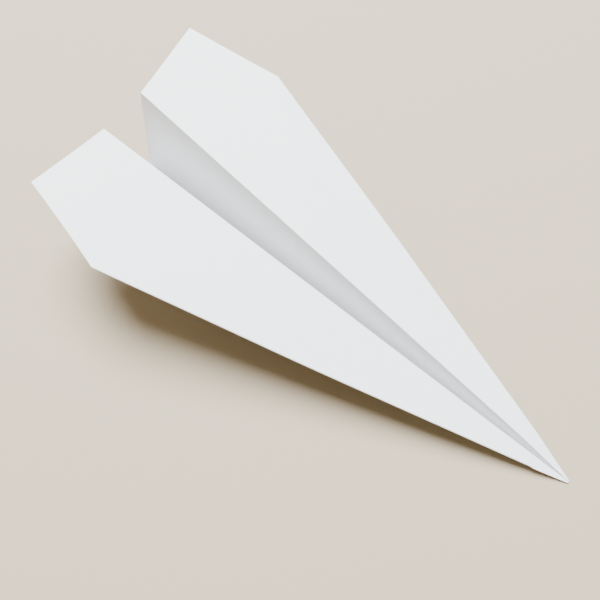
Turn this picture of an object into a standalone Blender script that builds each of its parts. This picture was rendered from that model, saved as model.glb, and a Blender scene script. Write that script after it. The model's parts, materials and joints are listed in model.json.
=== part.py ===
"""A classic folded paper dart: one A4 sheet, modelled as its flat panels and its folds.

Each half of the sheet lies in four plies. The base ply is the smooth one that shows on top. The first fold
turns the front corner under it along 45 degrees (the nose ply), and the second fold turns the new edge under
again, which makes the flap's inner and outer plies. The keel fold then closes the sheet along its middle, and
a last fold through the nose turns each wing down to level.

Frame: +X runs to the nose, +Y to port, +Z up. The origin is under the middle of the dart, on the surface that
the keel stands on.
"""
import bmesh
import bpy
from math import cos, pi, radians, sin, tan
from mathutils import Vector

# Driving dimensions, in metres and radians.
SHEET_LENGTH = 0.297
SHEET_WIDTH = 0.210
PAPER = 0.0001              # thickness of the sheet
PLY_PITCH = 0.0004          # from the middle of one ply to the middle of the next
NOSE_FOLD = radians(45)     # first fold, measured at the nose from the keel
EDGE_FOLD = radians(23.65)  # second fold, which becomes the leading edge
WING_FOLD = radians(10.8)   # last fold, where the wing turns away from the fuselage side
KEEL_LEAN = radians(14)     # each fuselage side leans out from upright
WING_TURN = radians(76)     # each wing turns out from its fuselage side, to level
KEEL_BEND = 0.00035         # middle radius of the keel fold
HINGE_CLEAR = 0.0002        # from the outermost ply to the line that the wing turns about
FOLD_GAP = 0.0003           # between a panel's edge and the fold that continues it
FLAP_RISE = 0.0020          # the folded-under plies stop this far short of the keel

# Worked out from the dimensions above.
HALF_SHEET = SHEET_WIDTH / 2
PLIES = ("base", "nose", "flap_inner", "flap_outer")
FLAP_LINE = 2 * EDGE_FOLD - NOSE_FOLD
STACK_MIDDLE = KEEL_BEND + 1.5 * PLY_PITCH
HINGE_OFFSET = KEEL_BEND + 3 * PLY_PITCH + PAPER / 2 + HINGE_CLEAR
EDGE_BEND = 1.5 * PLY_PITCH
INNER_BEND = 0.5 * PLY_PITCH
EDGE_INSET = EDGE_BEND + PAPER / 2
KEEL_BOTTOM = KEEL_BEND + PAPER / 2

# Ply colours: the same white stock, a shade apart so that the layers read.
PLY_COLOURS = {
    "base": (0.86, 0.87, 0.88, 1.0),
    "nose": (0.83, 0.84, 0.85, 1.0),
    "flap_inner": (0.80, 0.81, 0.83, 1.0),
    "flap_outer": (0.84, 0.85, 0.86, 1.0),
    "fold": (0.88, 0.89, 0.90, 1.0),
}


def clear_scene():
    for item in list(bpy.data.objects):
        bpy.data.objects.remove(item, do_unlink=True)


def paper_material(name, colour):
    material = bpy.data.materials.new(name)
    material.use_nodes = True
    shader = material.node_tree.nodes["Principled BSDF"]
    shader.inputs["Base Color"].default_value = colour
    shader.inputs["Roughness"].default_value = 0.85
    shader.inputs["Metallic"].default_value = 0.0
    return material


def add_object(name, mesh_data, parent, colour):
    """Closes a bmesh into an object of its own, with its faces pointing out, under its parent empty."""
    bmesh.ops.recalc_face_normals(mesh_data, faces=mesh_data.faces)
    mesh = bpy.data.meshes.new(name)
    mesh_data.to_mesh(mesh)
    mesh_data.free()
    mesh.materials.append(paper_material(name + "_paper", colour))
    item = bpy.data.objects.new(name, mesh)
    item.parent = parent
    bpy.context.scene.collection.objects.link(item)
    return item


def add_axis(name, parent, location, rotation):
    """An empty that stands on a joint's axis, for the pieces that turn about it."""
    axis = bpy.data.objects.new(name, None)
    axis.empty_display_size = 0.02
    axis.parent = parent
    axis.location = location
    axis.rotation_euler = rotation
    bpy.context.scene.collection.objects.link(axis)
    return axis


# The flat pattern. A point is (x, y) in the plane of one half of the sheet: the nose is (0, 0), the keel runs
# from it along -x, and y is the height above the keel.

def upward(angle):
    """Unit vector square to the line that leaves the nose at this angle above the keel, pointing up."""
    return Vector((sin(angle), cos(angle)))


def tailward(angle):
    """Unit vector along that line, away from the nose."""
    return Vector((-cos(angle), sin(angle)))


def mirrored(points, angle):
    """The points folded over that line."""
    normal = upward(angle)
    return [point - 2 * point.dot(normal) * normal for point in points]


def kept_above(points, normal, height):
    """The part of a convex outline at or above a height along a normal."""
    kept = []
    for here, there in zip(points, points[1:] + points[:1]):
        rise_here = here.dot(normal) - height
        rise_there = there.dot(normal) - height
        if rise_here >= 0:
            kept.append(here)
        if rise_here * rise_there < 0:
            kept.append(here.lerp(there, rise_here / (rise_here - rise_there)))
    return kept


def ply_outlines():
    """The outline of each ply once the first two folds are made, before the wing is turned."""
    nose = Vector((0, 0))
    kink = Vector((-HALF_SHEET / tan(EDGE_FOLD), HALF_SHEET))
    fold_end = Vector((-HALF_SHEET, HALF_SHEET))
    edge_meets_front = Vector((-HALF_SHEET, HALF_SHEET * tan(EDGE_FOLD)))
    base = [Vector((-SHEET_LENGTH, 0)), nose, kink, Vector((-SHEET_LENGTH, HALF_SHEET))]
    return {
        "base": base,
        "nose": [Vector((-HALF_SHEET, 0)), nose, edge_meets_front],
        "flap_inner": mirrored([nose, edge_meets_front, fold_end], EDGE_FOLD),
        "flap_outer": mirrored([nose, fold_end, kink], EDGE_FOLD),
    }


def fuselage_outline(ply, outline):
    """The part of a ply below the wing fold, clear of the folds along its edges."""
    outline = kept_above(outline, -upward(WING_FOLD), FOLD_GAP)
    if ply in ("base", "nose"):
        keel_clearance = FOLD_GAP if ply == "base" else FLAP_RISE
        return kept_above(outline, upward(0), keel_clearance)
    return kept_above(outline, upward(FLAP_LINE), FLAP_RISE + INNER_BEND + FOLD_GAP)


def wing_outline(outline):
    """The part of a ply above the wing fold, turned so that the wing fold lies along x."""
    outline = kept_above(outline, upward(WING_FOLD), FOLD_GAP)
    outline = kept_above(outline, -upward(EDGE_FOLD), EDGE_INSET + FOLD_GAP)
    along, across = -tailward(WING_FOLD), upward(WING_FOLD)
    return [Vector((point.dot(along), point.dot(across))) for point in outline]


def add_panel(name, parent, outline, middle, colour):
    """A flat panel of paper: its outline, one thickness deep, about the height of its middle."""
    mesh_data = bmesh.new()
    low = [mesh_data.verts.new((point.x, point.y, middle - PAPER / 2)) for point in outline]
    high = [mesh_data.verts.new((point.x, point.y, middle + PAPER / 2)) for point in outline]
    mesh_data.faces.new(low[::-1])
    mesh_data.faces.new(high)
    for index in range(len(outline)):
        after = (index + 1) % len(outline)
        mesh_data.faces.new((low[index], low[after], high[after], high[index]))
    return add_object(name, mesh_data, parent, colour)


def add_fold(name, parent, centre, along, reach, out, level, bend, spread, steps=10):
    """A bent strip of paper along a fold: an arc about a line through centre.

    reach is the pair of distances along the line where the strip starts and stops. The arc's middle faces
    out, and it opens by spread to each side, towards level and away from it.
    """
    mesh_data = bmesh.new()
    rings = []
    for distance in reach:
        for radius in (bend - PAPER / 2, bend + PAPER / 2):
            ring = []
            for step in range(steps + 1):
                turn = -spread + 2 * spread * step / steps
                place = centre + along * distance + radius * (cos(turn) * out + sin(turn) * level)
                ring.append(mesh_data.verts.new(place))
            rings.append(ring)
    inner_start, outer_start, inner_stop, outer_stop = rings
    for one, other in ((inner_start, outer_start), (outer_start, outer_stop),
                       (outer_stop, inner_stop), (inner_stop, inner_start)):
        for step in range(steps):
            mesh_data.faces.new((one[step], one[step + 1], other[step + 1], other[step]))
    for step in (0, steps):
        mesh_data.faces.new([ring[step] for ring in (inner_start, outer_start, outer_stop, inner_stop)])
    return add_object(name, mesh_data, parent, PLY_COLOURS["fold"])


def ply_offset(ply):
    """How far the middle of a ply lies outside the plane through the keel."""
    return KEEL_BEND + PLIES.index(ply) * PLY_PITCH


def nose_place():
    """The nose of the keel, which puts the origin under the middle of the dart."""
    corner = Vector((-SHEET_LENGTH, HALF_SHEET))
    along_fold = corner.dot(tailward(WING_FOLD))
    across_fold = corner.dot(upward(WING_FOLD))
    rise = across_fold * cos(WING_TURN) + (HINGE_OFFSET - KEEL_BEND) * sin(WING_TURN)
    tail_reach = along_fold * cos(WING_FOLD) - rise * sin(WING_FOLD)
    return Vector((tail_reach / 2, 0, KEEL_BOTTOM))


def add_side(side_name, side):
    """One half of the dart. side is 1 for port and -1 for starboard.

    In the frame of a fuselage side, x runs to the nose, y up the side, and z inward on port and outward on
    starboard, so a ply's height is its offset times -side.
    """
    wall = add_axis(side_name + "_keel_axis", None, nose_place(), (pi / 2 - side * KEEL_LEAN, 0, 0))
    wing = add_axis(side_name + "_wing_axis", wall, (0, 0, -side * HINGE_OFFSET),
                    (-side * WING_TURN, 0, -WING_FOLD))
    outlines = ply_outlines()
    for ply, outline in outlines.items():
        offset = ply_offset(ply)
        add_panel(f"{side_name}_fuselage_{ply}", wall, fuselage_outline(ply, outline),
                  -side * offset, PLY_COLOURS[ply])
        add_panel(f"{side_name}_wing_{ply}", wing, wing_outline(outline),
                  -side * (offset - HINGE_OFFSET), PLY_COLOURS[ply])
    add_edge_folds(side_name, side, wing)
    add_flap_fold(side_name, side, wall)
    add_wing_crease(side_name, side, wall)


def add_edge_folds(side_name, side, wing):
    """The two folds along the leading edge, one inside the other."""
    angle = EDGE_FOLD - WING_FOLD
    along = tailward(angle).to_3d()
    out = upward(angle).to_3d()
    level = Vector((0, 0, 1))
    centre = Vector((0, 0, -side * (STACK_MIDDLE - HINGE_OFFSET))) - out * EDGE_INSET
    start = (EDGE_INSET + FOLD_GAP) / tan(angle) + FOLD_GAP
    kink_distance = HALF_SHEET / sin(EDGE_FOLD)
    inner_end = HALF_SHEET / cos(EDGE_FOLD)
    add_fold(side_name + "_leading_edge_fold", wing, centre, along, (start, kink_distance - EDGE_INSET),
             out, level, EDGE_BEND, pi / 2)
    add_fold(side_name + "_inner_edge_fold", wing, centre, along, (start, inner_end),
             out, level, INNER_BEND, pi / 2, steps=6)


def add_flap_fold(side_name, side, wall):
    """The first fold, which the second one brings down beside the keel."""
    out = -upward(FLAP_LINE).to_3d()
    middle = (ply_offset("flap_inner") + ply_offset("flap_outer")) / 2
    centre = Vector((0, 0, -side * middle)) - out * (FLAP_RISE + INNER_BEND)
    start = (FLAP_RISE + 2 * FOLD_GAP + INNER_BEND) / tan(WING_FOLD - FLAP_LINE)
    stop = HALF_SHEET / cos(NOSE_FOLD)
    add_fold(side_name + "_flap_fold", wall, centre, tailward(FLAP_LINE).to_3d(), (start, stop),
             out, Vector((0, 0, 1)), INNER_BEND, pi / 2, steps=6)


def add_wing_crease(side_name, side, wall):
    """The base ply's bend from the fuselage side into the wing."""
    centre = Vector((0, 0, -side * HINGE_OFFSET))
    inward = Vector((0, 0, side))
    up = upward(WING_FOLD).to_3d()
    half_turn = WING_TURN / 2
    out = cos(half_turn) * inward + sin(half_turn) * up
    level = cos(half_turn) * up - sin(half_turn) * inward
    bend = HINGE_OFFSET - KEEL_BEND
    start = (bend + FOLD_GAP) / tan(EDGE_FOLD - WING_FOLD)
    stop = SHEET_LENGTH / cos(WING_FOLD)
    add_fold(side_name + "_wing_crease", wall, centre, tailward(WING_FOLD).to_3d(), (start, stop),
             out, level, bend, half_turn, steps=8)


def add_keel():
    """The keel fold, which joins the two base plies and carries the dart on its underside."""
    centre = nose_place()
    add_fold("keel_fold", None, centre, Vector((-1, 0, 0)), (0, SHEET_LENGTH),
             Vector((0, 0, -1)), Vector((0, 1, 0)), KEEL_BEND, pi / 2 - KEEL_LEAN, steps=12)


clear_scene()
add_keel()
add_side("port", 1)
add_side("starboard", -1)
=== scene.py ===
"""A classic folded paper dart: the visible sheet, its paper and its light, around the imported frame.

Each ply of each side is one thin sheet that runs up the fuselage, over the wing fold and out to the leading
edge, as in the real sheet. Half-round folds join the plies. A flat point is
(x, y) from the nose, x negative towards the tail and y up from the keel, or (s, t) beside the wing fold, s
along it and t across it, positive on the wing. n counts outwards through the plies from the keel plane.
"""
import json
from math import acos, atan2, copysign, cos, hypot, pi, radians, sin, sqrt, tan

import bpy
import numpy as np
from mathutils import Matrix, Vector


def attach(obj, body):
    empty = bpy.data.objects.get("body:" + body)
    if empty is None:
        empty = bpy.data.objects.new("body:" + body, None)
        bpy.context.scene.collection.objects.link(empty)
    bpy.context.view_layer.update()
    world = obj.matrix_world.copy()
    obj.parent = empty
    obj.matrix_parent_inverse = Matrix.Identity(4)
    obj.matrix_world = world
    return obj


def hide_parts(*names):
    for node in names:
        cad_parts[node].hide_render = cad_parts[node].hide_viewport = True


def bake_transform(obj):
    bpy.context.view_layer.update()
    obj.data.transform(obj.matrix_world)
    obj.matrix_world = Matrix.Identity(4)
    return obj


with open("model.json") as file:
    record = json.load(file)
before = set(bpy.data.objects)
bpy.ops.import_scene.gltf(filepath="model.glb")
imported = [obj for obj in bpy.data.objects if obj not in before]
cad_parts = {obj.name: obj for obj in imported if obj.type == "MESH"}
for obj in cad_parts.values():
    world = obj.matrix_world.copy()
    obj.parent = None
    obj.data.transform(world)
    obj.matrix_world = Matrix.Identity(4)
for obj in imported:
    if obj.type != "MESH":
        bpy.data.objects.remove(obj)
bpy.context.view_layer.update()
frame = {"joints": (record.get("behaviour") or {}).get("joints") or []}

# The sheet, as the CAD model has it, in metres.
SHEET_LENGTH = 0.297
HALF_SHEET = 0.105
PAPER = 0.0001
PLY_PITCH = 0.0004
KEEL_BEND = 0.00035
FLAP_RISE = 0.0020
NOSE_FOLD = radians(45)
EDGE_FOLD = radians(23.65)
PLIES = ("base", "nose", "flap_inner", "flap_outer")

# What the joints say about the folds.
JOINTS = {joint["name"]: joint for joint in frame["joints"]}
NOSE = Vector(JOINTS["keel_hinge"]["pos_m"])
CREASE_AXIS = JOINTS["port_wing_hinge"]["axis"]
CREASE_PLACE = JOINTS["port_wing_hinge"]["pos_m"]
WING_FOLD = acos(-CREASE_AXIS[0])
KEEL_LEAN = atan2(CREASE_AXIS[1], CREASE_AXIS[2])
WING_TURN = pi / 2 - KEEL_LEAN
HINGE_OFFSET = hypot(CREASE_PLACE[1], CREASE_PLACE[2] - NOSE.z)
EDGE_ANGLE = EDGE_FOLD - WING_FOLD
FLAP_LINE = 2 * EDGE_FOLD - NOSE_FOLD
KINK_REACH = HALF_SHEET / sin(EDGE_FOLD)
FRONT_REACH = HALF_SHEET / cos(EDGE_FOLD)
FLAP_REACH = HALF_SHEET * sqrt(2)
EDGE_INSET = 1.5 * PLY_PITCH + PAPER / 2
FLAP_INSET = FLAP_RISE + PLY_PITCH / 2

# How the real sheet departs from flat panels and evenly spaced plies. Lengths are in metres.
CRISP = 0.00022             # radius of the wing crease in the sheet that shows
CRISP_UNDER = 0.00012       # and in the plies under it
NOSE_REACH = 0.030          # the plies are pressed together less than this far from the nose
NOSE_PITCH = 0.30           # share of the ply spacing that is left at the nose
NOSE_HEIGHT = 0.40          # share of the height that is left at the nose
NOSE_SHORT = 0.0013         # the folds leave the nose this much short of the sheet's own corner
NOSE_HALF_WIDTH = 0.00019   # half the width at the tip
NOSE_TAPER = 0.140          # less than this far from it, the wings are narrower than flat panels would be
TAPER_POWER = 1.2           # 1 would bring the leading edges in on straight lines
PINCH_LEAN = radians(13.4)  # the lean of a side where it is pinched; less would cross as the keel closes
PINCH_GAP = 0.00006         # half the gap that the pinch leaves above the keel
PINCH_REACH = 0.045         # the channel has its full width again this far from the nose

# The same, where the two sides differ: 1 is port and -1 is starboard.
SPLAY = {1: 0.0, -1: 0.0031}            # how far the leading edge stands out at the kink
TAIL_TUCK = {1: 0.0031, -1: 0.0055}     # how far the outline comes in again by the tail corner
TAIL_SHARE = 0.2                        # the tail corner's reach beyond the kink, as a share of the kink's
NOTCH = {1: 0.0, -1: 0.00045}           # how far the plies bulge along the leading edge by the nose
NOTCH_REACH = 0.0215                    # where that bulge ends
NOTCH_STEP = 0.0012                     # and over what length

# Slow waves in the wings, which start behind the nose and grow towards the leading edge.
RIPPLE_HEIGHT = 0.00035
RIPPLE_WAVES = 1.7          # how many there are between the nose and the kink
RIPPLE_SHIFT = 0.15         # how far they are shifted, one way on port and the other on starboard
RIPPLE_START = 1 / 3        # the share of the kink's reach where they have their full height

# Mesh fineness.
STEPS_ALONG = 64
STEPS_ACROSS = 10
STEPS_CREASE = 6
STEPS_FOLD = 10
CLOSER_AT_NOSE = 1.5        # 1 would space the rows evenly from the nose to the tail
TIP_SHARE = 0.0008          # the first row's share of the way, so that no face is without a width
HOLD = 0.0004               # rows this close to the crease, at the tail, keep the panels flat beside it
SHARP_EDGE = radians(50)    # faces that meet at more than this show an edge
FACES = (-PAPER / 2, PAPER / 2)     # the paper's two faces, from the middle of a ply


def smooth_step(value):
    value = min(max(value, 0.0), 1.0)
    return value * value * (3 - 2 * value)


# ---- The folded shape -------------------------------------------------------------------------------------

def ply_offset(ply, s, t):
    """How far a ply's middle lies outside the plane through the keel; the plies close up at the nose."""
    opened = smooth_step(hypot(s, t) / NOSE_REACH)
    return KEEL_BEND + ply * PLY_PITCH * (NOSE_PITCH + (1 - NOSE_PITCH) * opened)


def directions(side, turn):
    """Unit vectors along the wing fold, across a panel and through it, for a panel turned out by turn."""
    up = Vector((0, side * sin(KEEL_LEAN), cos(KEEL_LEAN)))
    out = Vector((0, side * cos(KEEL_LEAN), -sin(KEEL_LEAN)))
    forward = cos(WING_FOLD) * Vector((1, 0, 0)) - sin(WING_FOLD) * up
    rising = sin(WING_FOLD) * Vector((1, 0, 0)) + cos(WING_FOLD) * up
    return forward, cos(turn) * rising + sin(turn) * out, cos(turn) * out - sin(turn) * rising


def wings_growth():
    """How fast the leading edge of an unpinched wing moves out, behind the nose."""
    forward, across, _ = directions(1, WING_TURN)
    edge = sin(EDGE_ANGLE) * across - cos(EDGE_ANGLE) * forward
    return -edge.y / edge.x


# The unpinched nose: half the gap between the creases, their height and half the wings' width, and how fast
# each grows behind the nose.
CHANNEL_AT_NOSE = (KEEL_BEND * cos(KEEL_LEAN)
                   + (HINGE_OFFSET - KEEL_BEND) * tan(WING_TURN / 2) * cos(WING_FOLD) * sin(KEEL_LEAN))
CHANNEL_GROWTH = tan(WING_FOLD) * sin(KEEL_LEAN)
CREST_AT_NOSE = ((HINGE_OFFSET - KEEL_BEND) * tan(WING_TURN / 2) * cos(WING_FOLD) * cos(KEEL_LEAN)
                 - KEEL_BEND * sin(KEEL_LEAN))
CREST_GROWTH = tan(WING_FOLD) * cos(KEEL_LEAN)
WINGS_AT_NOSE = HINGE_OFFSET * cos(KEEL_LEAN)
WINGS_GROWTH = wings_growth()


def place(side, s, t, n, turn):
    """The point at (s, t, n) on a panel that has turned out from the fuselage by turn."""
    forward, across, through = directions(side, turn)
    hinge = NOSE + HINGE_OFFSET * directions(side, 0)[2]
    return pressed(hinge + s * forward + t * across + (n - HINGE_OFFSET) * through)


def place_in_crease(side, s, n, face, turn, radius):
    """A point in the crisp bend of the wing fold, on a face of the ply whose middle is at n."""
    forward, across, through = directions(side, 0)
    hinge = NOSE + HINGE_OFFSET * through
    centre = hinge + s * forward + crease_rise(n, radius) * across + (n + radius - HINGE_OFFSET) * through
    return pressed(centre - (radius - face) * directions(side, turn)[2])


def crease_rise(n, radius):
    """How far a panel runs past the hinge line before it bends."""
    return (HINGE_OFFSET - n - radius) * tan(WING_TURN / 2)


def pressed(point):
    """Where a point goes as the nose is pinched to a tip: the channel closes and the wings come together."""
    behind = NOSE.x - point.x
    tight = max(0.0, 1 - behind / NOSE_REACH) ** 2
    taper = min(1.0, max(0.0, 1 - behind / NOSE_TAPER)) ** TAPER_POWER
    pressing = 1 - (1 - NOSE_HEIGHT) * tight
    gap = CHANNEL_AT_NOSE + behind * CHANNEL_GROWTH
    crest = CREST_AT_NOSE + behind * CREST_GROWTH
    pinched = PINCH_GAP + pressing * crest * tan(PINCH_LEAN)
    gap_left = pinched + (gap - pinched) * smooth_step(behind / PINCH_REACH)
    reach = WINGS_AT_NOSE + behind * WINGS_GROWTH
    reach_left = reach - (WINGS_AT_NOSE - NOSE_HALF_WIDTH) * taper
    far = 2 * HALF_SHEET
    far_left = far + reach_left - reach
    aside = np.interp(abs(point.y), (0, gap, reach, far), (0, gap_left, reach_left, far_left))
    height = (point.z - NOSE.z) * pressing
    return Vector((point.x - NOSE_SHORT * tight, copysign(aside, point.y), NOSE.z + height))


# ---- Flat outlines ----------------------------------------------------------------------------------------

def flat(angle, reach, rise):
    """The flat point at reach from the nose along a line at angle above the keel, and at rise above it."""
    return Vector((rise * sin(angle) - reach * cos(angle), rise * cos(angle) + reach * sin(angle)))


def beside_fold(point):
    """A flat point as (s, t)."""
    return Vector((point.x * cos(WING_FOLD) - point.y * sin(WING_FOLD),
                   point.x * sin(WING_FOLD) + point.y * cos(WING_FOLD)))


def settled(side, s, t):
    """Where a flat wing point really lies, and how high: a hand-folded wing spreads, tucks in and ripples."""
    reach = hypot(s, t)
    share = max(0.0, atan2(t, -s) / EDGE_ANGLE)
    kink_share = reach / KINK_REACH
    shift = SPLAY[side] * min(kink_share, 1)
    shift -= TAIL_TUCK[side] * max(0.0, kink_share - 1) / TAIL_SHARE
    shift += NOTCH[side] * smooth_step((NOTCH_REACH - reach) / NOTCH_STEP)
    wave = sin(2 * pi * (kink_share * RIPPLE_WAVES + side * RIPPLE_SHIFT))
    return s, t + share * shift, RIPPLE_HEIGHT * share * wave * smooth_step(kink_share / RIPPLE_START)


def edge_reach(swing):
    """Where the leading edge fold ends on the sheet's long edge, at a swing round from the base ply."""
    return KINK_REACH - EDGE_INSET * sin(swing) / tan(EDGE_FOLD)


def front_reach(swing):
    """Where the inner edge fold ends on the sheet's front edge, at a swing round from the nose ply."""
    return FRONT_REACH + EDGE_INSET * sin(swing) * tan(EDGE_FOLD)


def rear_outlines():
    """What each ply ends on, seen from the nose, from its lowest corner up to the leading edge."""
    flap_end = flat(FLAP_LINE, FLAP_REACH, FLAP_INSET)
    return {
        "base": [Vector((-SHEET_LENGTH, 0)), Vector((-SHEET_LENGTH, HALF_SHEET)),
                 flat(EDGE_FOLD, edge_reach(-pi / 2), -EDGE_INSET)],
        "nose": [Vector((-HALF_SHEET, FLAP_RISE)), flat(EDGE_FOLD, front_reach(-pi / 2), -EDGE_INSET)],
        "flap_inner": [flap_end, flat(EDGE_FOLD, front_reach(pi / 2), -EDGE_INSET)],
        "flap_outer": [flap_end, flat(EDGE_FOLD, edge_reach(pi / 2), -EDGE_INSET)],
    }


def wall_and_wing(outline):
    """Points along an outline in (s, t): the wall's, up to the wing fold, and the wing's, from there."""
    points = [beside_fold(point) for point in outline]
    crossing = next(k for k in range(len(points) - 1) if points[k].y < 0 <= points[k + 1].y)
    low, high = points[crossing], points[crossing + 1]
    on_fold = low.lerp(high, -low.y / (high.y - low.y))
    return subdivided(points[:crossing + 1] + [on_fold]), subdivided([on_fold] + points[crossing + 1:])


def subdivided(points):
    """Points along a line of straight stretches, about STEPS_ACROSS of them."""
    total = sum((there - here).length for here, there in zip(points, points[1:]))
    line = [points[0]]
    for here, there in zip(points, points[1:]):
        count = max(2, round(STEPS_ACROSS * (there - here).length / total))
        line += [here.lerp(there, step / count) for step in range(1, count + 1)]
    return line


# ---- Thin paper meshes ------------------------------------------------------------------------------------

def shares_from_nose():
    """Shares of the way from the nose to the tail, closer together near the nose."""
    return [TIP_SHARE + (1 - TIP_SHARE) * (step / STEPS_ALONG) ** CLOSER_AT_NOSE
            for step in range(STEPS_ALONG + 1)]


def thin_sheet(name, rows):
    """A closed sheet of paper. rows is a grid of (upper point, lower point)."""
    height, width = len(rows), len(rows[0])
    points = [pair[layer] for layer in (0, 1) for row in rows for pair in row]

    def at(layer, row, column):
        return layer * height * width + row * width + column

    faces = []
    for row in range(height - 1):
        for column in range(width - 1):
            corners = ((row, column), (row, column + 1), (row + 1, column + 1), (row + 1, column))
            faces.append([at(0, *corner) for corner in corners])
            faces.append([at(1, *corner) for corner in corners[::-1]])
    rim = [(0, column) for column in range(width)] + [(row, width - 1) for row in range(1, height)]
    rim += [(height - 1, column) for column in range(width - 2, -1, -1)]
    rim += [(row, 0) for row in range(height - 2, 0, -1)]
    for here, there in zip(rim, rim[1:] + rim[:1]):
        faces.append([at(0, *there), at(0, *here), at(1, *here), at(1, *there)])
    mesh = bpy.data.meshes.new(name)
    mesh.from_pydata([tuple(point) for point in points], [], faces)
    if enclosed_volume(points, faces) < 0:
        mesh.flip_normals()
    mesh.shade_smooth()
    mesh.set_sharp_from_angle(angle=SHARP_EDGE)
    item = bpy.data.objects.new(name, mesh)
    bpy.context.scene.collection.objects.link(item)
    return item


def enclosed_volume(points, faces):
    """Six times the volume inside the faces, negative where they point inwards."""
    return sum(points[face[0]].dot(points[one].cross(points[two]))
               for face in faces for one, two in zip(face[1:], face[2:]))


def ply_sheet(name, side, ply, outline):
    """One ply of one side: up the fuselage, over the crisp wing crease and out over the wing."""
    index = PLIES.index(ply)
    radius = CRISP if ply == "base" else CRISP_UNDER
    wall, wing = wall_and_wing(outline)
    rows = []
    for share in shares_from_nose():
        s_fold = wall[-1].x * share
        n_fold = ply_offset(index, s_fold, 0)
        rise = crease_rise(n_fold, radius)
        hold = HOLD * sqrt(share)
        row = []
        for point in wall[:-1]:
            s, t = point * share
            row.append(layers(side, s, t, ply_offset(index, s, t), 0))
        row.append(layers(side, s_fold, rise - hold, n_fold, 0))
        for step in range(STEPS_CREASE + 1):
            turn = WING_TURN * step / STEPS_CREASE
            row.append([place_in_crease(side, s_fold, n_fold, face, turn, radius) for face in FACES])
        row.append(layers(side, s_fold, hold - rise, n_fold, WING_TURN))
        for point in wing[1:]:
            s, t = point * share
            s_settled, t_settled, wave = settled(side, s, t)
            row.append(layers(side, s_settled, t_settled, ply_offset(index, s, t) - wave, WING_TURN))
        rows.append(row)
    return thin_sheet(name, rows)


def layers(side, s, t, n, turn):
    """The upper and lower point of the paper at (s, t, n)."""
    return [place(side, s, t, n + face, turn) for face in FACES]


def half_round_fold(name, side, line, reach, rise, joined, turn):
    """The fold that joins two plies along a line from the nose, at an angle above the keel.

    Its centre lies at rise above the line, and it bulges back towards the line. reach says how far from the
    nose it ends, which may change with the swing from the one ply round to the other.
    """
    first, last = [PLIES.index(ply) for ply in joined]
    angle = line - WING_FOLD
    outward = copysign(1, -rise)
    rows = []
    for share in shares_from_nose():
        row = []
        for step in range(STEPS_FOLD + 1):
            swing = -pi / 2 + pi * step / STEPS_FOLD
            centre = beside_fold(flat(line, reach(swing), rise)) * share
            s, t, wave = settled(side, *centre)
            low, high = ply_offset(first, *centre), ply_offset(last, *centre)
            pair = []
            for radius in ((high - low + PAPER) / 2, (high - low - PAPER) / 2):
                bulge = outward * radius * cos(swing)
                pair.append(place(side, s + bulge * sin(angle), t + bulge * cos(angle),
                                  (low + high) / 2 - wave + radius * sin(swing), turn))
            row.append(pair)
        rows.append(row)
    return thin_sheet(name, rows)


def keel_fold(name):
    """The bend along the keel, from the port side under to the starboard side."""
    spread = pi / 2 - KEEL_LEAN
    rows = []
    for share in shares_from_nose():
        row = []
        for step in range(STEPS_FOLD + 1):
            swing = spread - 2 * spread * step / STEPS_FOLD
            down = Vector((0, sin(swing), -cos(swing)))
            middle = NOSE - Vector((SHEET_LENGTH * share, 0, 0))
            row.append([pressed(middle + (KEEL_BEND + face) * down) for face in FACES])
        rows.append(row)
    return thin_sheet(name, rows)


# ---- Paper ------------------------------------------------------------------------------------------------

# Scales are in features per metre and depths in metres.
FORMATION_SCALE = 260               # clouds in the stock
FIBRE_SCALE = 1500                  # the fibres that lie on the surface
FIBRE_STRETCH = (1.0, 0.35, 0.35)   # they are three times as long across the dart as along it
FIBRE_DEPTH = 0.00003
FELT_SCALE = 2600                   # the grain that the paper machine's felt leaves
FELT_DEPTH = 0.00002
COCKLE_SCALE = 22                   # slow unevenness
COCKLE_DEPTH = 0.0004
COCKLE_STRENGTH = 0.3
CLOUD_LOW, CLOUD_HIGH = 0.35, 0.65  # the part of the formation noise that shades the paper
SMOOTHEST, ROUGHEST = 0.68, 0.92    # roughness between and on the fibres
SURFACE = {
    "Specular IOR Level": 0.35,
    "Sheen Weight": 0.12,
    "Sheen Roughness": 0.6,
    "Subsurface Weight": 0.15,
    "Subsurface Radius": (0.0011, 0.0010, 0.0009),
    "Subsurface Scale": 1.0,
}


def set_inputs(node, values):
    for name, value in values.items():
        node.inputs[name].default_value = value


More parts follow.
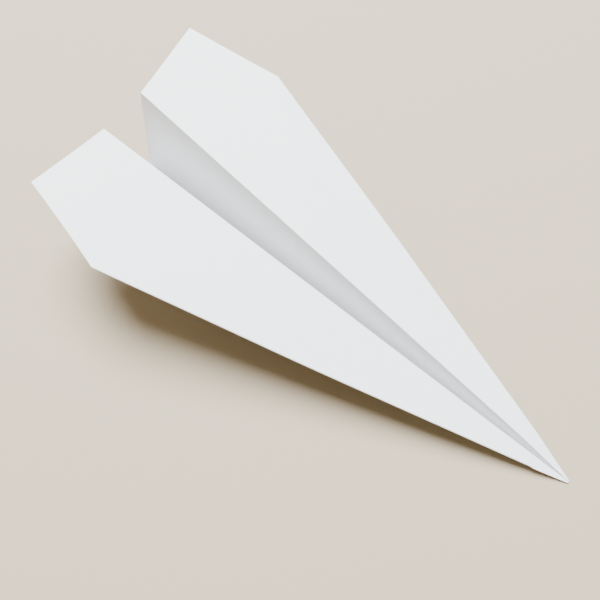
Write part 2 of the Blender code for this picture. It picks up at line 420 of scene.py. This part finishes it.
def paper(name, colour, shade, tooth):
    """Matt uncoated white paper: cloudy stock, a felt of fine fibres, and a slight cockle.

    shade is how bright the clouds are against the rest, and tooth how far the fibres and felt stand out.
    """
    material = bpy.data.materials.new(name)
    material.use_nodes = True
    tree = material.node_tree
    shader = tree.nodes["Principled BSDF"]
    make, link = tree.nodes.new, tree.links.new
    where = make("ShaderNodeTexCoord")

    def noise(scale, detail, roughness, stretch=(1, 1, 1)):
        mapping = make("ShaderNodeMapping")
        set_inputs(mapping, {"Scale": stretch})
        link(where.outputs["Object"], mapping.inputs["Vector"])
        texture = make("ShaderNodeTexNoise")
        set_inputs(texture, {"Scale": scale, "Detail": detail, "Roughness": roughness})
        link(mapping.outputs["Vector"], texture.inputs["Vector"])
        return texture.outputs["Fac"]

    formation = noise(FORMATION_SCALE, detail=4, roughness=0.6)
    fibres = noise(FIBRE_SCALE, detail=5, roughness=0.7, stretch=FIBRE_STRETCH)
    felt = noise(FELT_SCALE, detail=3, roughness=0.6)
    cockle = noise(COCKLE_SCALE, detail=2, roughness=0.4)

    clouds = make("ShaderNodeMapRange")
    set_inputs(clouds, {"From Min": CLOUD_LOW, "From Max": CLOUD_HIGH})
    link(formation, clouds.inputs["Value"])
    tone = make("ShaderNodeMix")
    tone.data_type = "RGBA"
    tone.inputs["A"].default_value = (*[value * shade for value in colour], 1)
    tone.inputs["B"].default_value = (*colour, 1)
    link(clouds.outputs["Result"], tone.inputs["Factor"])
    link(tone.outputs["Result"], shader.inputs["Base Color"])

    matt = make("ShaderNodeMapRange")
    set_inputs(matt, {"To Min": SMOOTHEST, "To Max": ROUGHEST})
    link(fibres, matt.inputs["Value"])
    link(matt.outputs["Result"], shader.inputs["Roughness"])

    reliefs = ((cockle, COCKLE_STRENGTH, COCKLE_DEPTH),
               (fibres, tooth, FIBRE_DEPTH),
               (felt, tooth, FELT_DEPTH))
    normal = None
    for height, strength, depth in reliefs:
        bump = make("ShaderNodeBump")
        set_inputs(bump, {"Strength": strength, "Distance": depth})
        link(height, bump.inputs["Height"])
        if normal:
            link(normal, bump.inputs["Normal"])
        normal = bump.outputs["Normal"]
    link(normal, shader.inputs["Normal"])
    set_inputs(shader, SURFACE)
    return material


# ---- Building the dart ------------------------------------------------------------------------------------

# The same white stock everywhere, a shade apart so that the layers read: the plies folded under are a shade
# darker, as painted shade, and the creases a shade lighter, as a painted highlight.
PAPERS = {
    "base_sheet": paper("paper_base", (0.64, 0.645, 0.66), shade=0.975, tooth=0.4),
    # painted shade: the plies folded under are a shade darker than the base sheet
    "folded_under": paper("paper_under_painted_shade", (0.625, 0.63, 0.645), shade=0.97, tooth=0.4),
    # painted highlight: the creases are a shade lighter than the base sheet
    "creases": paper("paper_crease_painted_highlight", (0.655, 0.66, 0.67), shade=0.96, tooth=0.6),
}


def finish_piece(item, slot, *nodes):
    """Gives a piece its paper, and puts it in the place of the CAD nodes that it shows."""
    item.data.materials.append(PAPERS[slot])
    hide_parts(*nodes)
    return item


def bend_with_wing(item):
    """Bakes a piece's placement into its mesh."""
    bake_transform(item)


def build_side(side_name, side):
    """The pieces of one side: its four plies, the two edge folds and the flap fold."""
    for ply, outline in rear_outlines().items():
        item = ply_sheet(f"{side_name}_{ply}_ply", side, ply, outline)
        nodes = [f"{side_name}_fuselage_{ply}", f"{side_name}_wing_{ply}"]
        if ply == "base":
            nodes.append(side_name + "_wing_crease")
        finish_piece(item, "base_sheet" if ply == "base" else "folded_under", *nodes)
        bend_with_wing(item)
    edges = (("leading_edge", edge_reach, ("base", "flap_outer")),
             ("inner_edge", front_reach, ("nose", "flap_inner")))
    for edge, reach, joined in edges:
        item = half_round_fold(f"{side_name}_{edge}_bend", side, EDGE_FOLD, reach, -EDGE_INSET, joined,
                               WING_TURN)
        finish_piece(item, "creases", f"{side_name}_{edge}_fold")
        bend_with_wing(item)
    item = half_round_fold(side_name + "_flap_bend", side, FLAP_LINE, lambda swing: FLAP_REACH, FLAP_INSET,
                           ("flap_inner", "flap_outer"), 0)
    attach(finish_piece(item, "creases", side_name + "_flap_fold"), side_name + "_side")


def build_keel():
    """The fold between the two sides."""
    item = finish_piece(keel_fold("keel_bend"), "creases", "keel_fold")
    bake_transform(item)


def build_dart():
    for side_name, side in (("port", 1), ("starboard", -1)):
        build_side(side_name, side)
    build_keel()


# ---- Floor, light and camera ------------------------------------------------------------------------------

FLOOR_REACH = 3.0
FLOOR_COLOUR = (0.27, 0.215, 0.15, 1)
FLOOR_ROUGHNESS = 0.8
LIGHT_FROM = Vector((-0.42, 0.36, 1.0))     # from the dart
LIGHT_DISTANCE = 3.0
LIGHT_SIZE = 2.2
LIGHT_POWER = 740
LIGHT_COLOUR = (0.89, 0.95, 1.0)
AMBIENT_COLOUR = (1.0, 0.87, 0.58, 1)
AMBIENT_STRENGTH = 0.80
CAMERA_PLACE = Vector((0.1350, -0.1122, 0.4379))
CAMERA_LOOKS_AT = Vector((-0.0165, -0.0100, 0.0))
CAMERA_UP = Vector((-0.5783, 0.7272, 0.3697))
CAMERA_LENS = 51.7
CAMERA_SENSOR = 36
CAMERA_NEAR = 0.01


def facing(direction, up):
    """The rotation of a camera or light that looks along direction."""
    back = -direction.normalized()
    right = up.cross(back).normalized()
    return Matrix((right, back.cross(right), back)).transposed().to_4x4()


def add_floor():
    """A plain pale floor under the keel."""
    corners = [(x * FLOOR_REACH, y * FLOOR_REACH, 0) for x, y in ((-1, -1), (1, -1), (1, 1), (-1, 1))]
    mesh = bpy.data.meshes.new("floor")
    mesh.from_pydata(corners, [], [(0, 1, 2, 3)])
    floor = bpy.data.objects.new("floor", mesh)
    material = bpy.data.materials.new("pale_floor")
    material.use_nodes = True
    set_inputs(material.node_tree.nodes["Principled BSDF"],
               {"Base Color": FLOOR_COLOUR, "Roughness": FLOOR_ROUGHNESS})
    mesh.materials.append(material)
    bpy.context.scene.collection.objects.link(floor)


def add_light():
    """One large soft light, above and behind the dart and to port."""
    data = bpy.data.lights.new("key_light", "AREA")
    data.shape = "DISK"
    data.size = LIGHT_SIZE
    data.energy = LIGHT_POWER
    data.color = LIGHT_COLOUR
    light = bpy.data.objects.new("key_light", data)
    light.matrix_world = facing(-LIGHT_FROM, Vector((0, 1, 0)))
    light.location = LIGHT_FROM.normalized() * LIGHT_DISTANCE
    bpy.context.scene.collection.objects.link(light)


def add_world():
    """The room's even light, warmer than the light above."""
    world = bpy.data.worlds.new("studio")
    world.use_nodes = True
    set_inputs(world.node_tree.nodes["Background"], {"Color": AMBIENT_COLOUR, "Strength": AMBIENT_STRENGTH})
    bpy.context.scene.world = world


def add_camera():
    """The photo's view, from above the starboard side of the nose, with the nose to the lower right."""
    data = bpy.data.cameras.new("camera")
    data.lens = CAMERA_LENS
    data.sensor_width = CAMERA_SENSOR
    data.clip_start = CAMERA_NEAR
    camera = bpy.data.objects.new("camera", data)
    camera.matrix_world = facing(CAMERA_LOOKS_AT - CAMERA_PLACE, CAMERA_UP)
    camera.location = CAMERA_PLACE
    bpy.context.scene.collection.objects.link(camera)
    bpy.context.scene.camera = camera


build_dart()
add_floor()
add_light()
add_world()
add_camera()
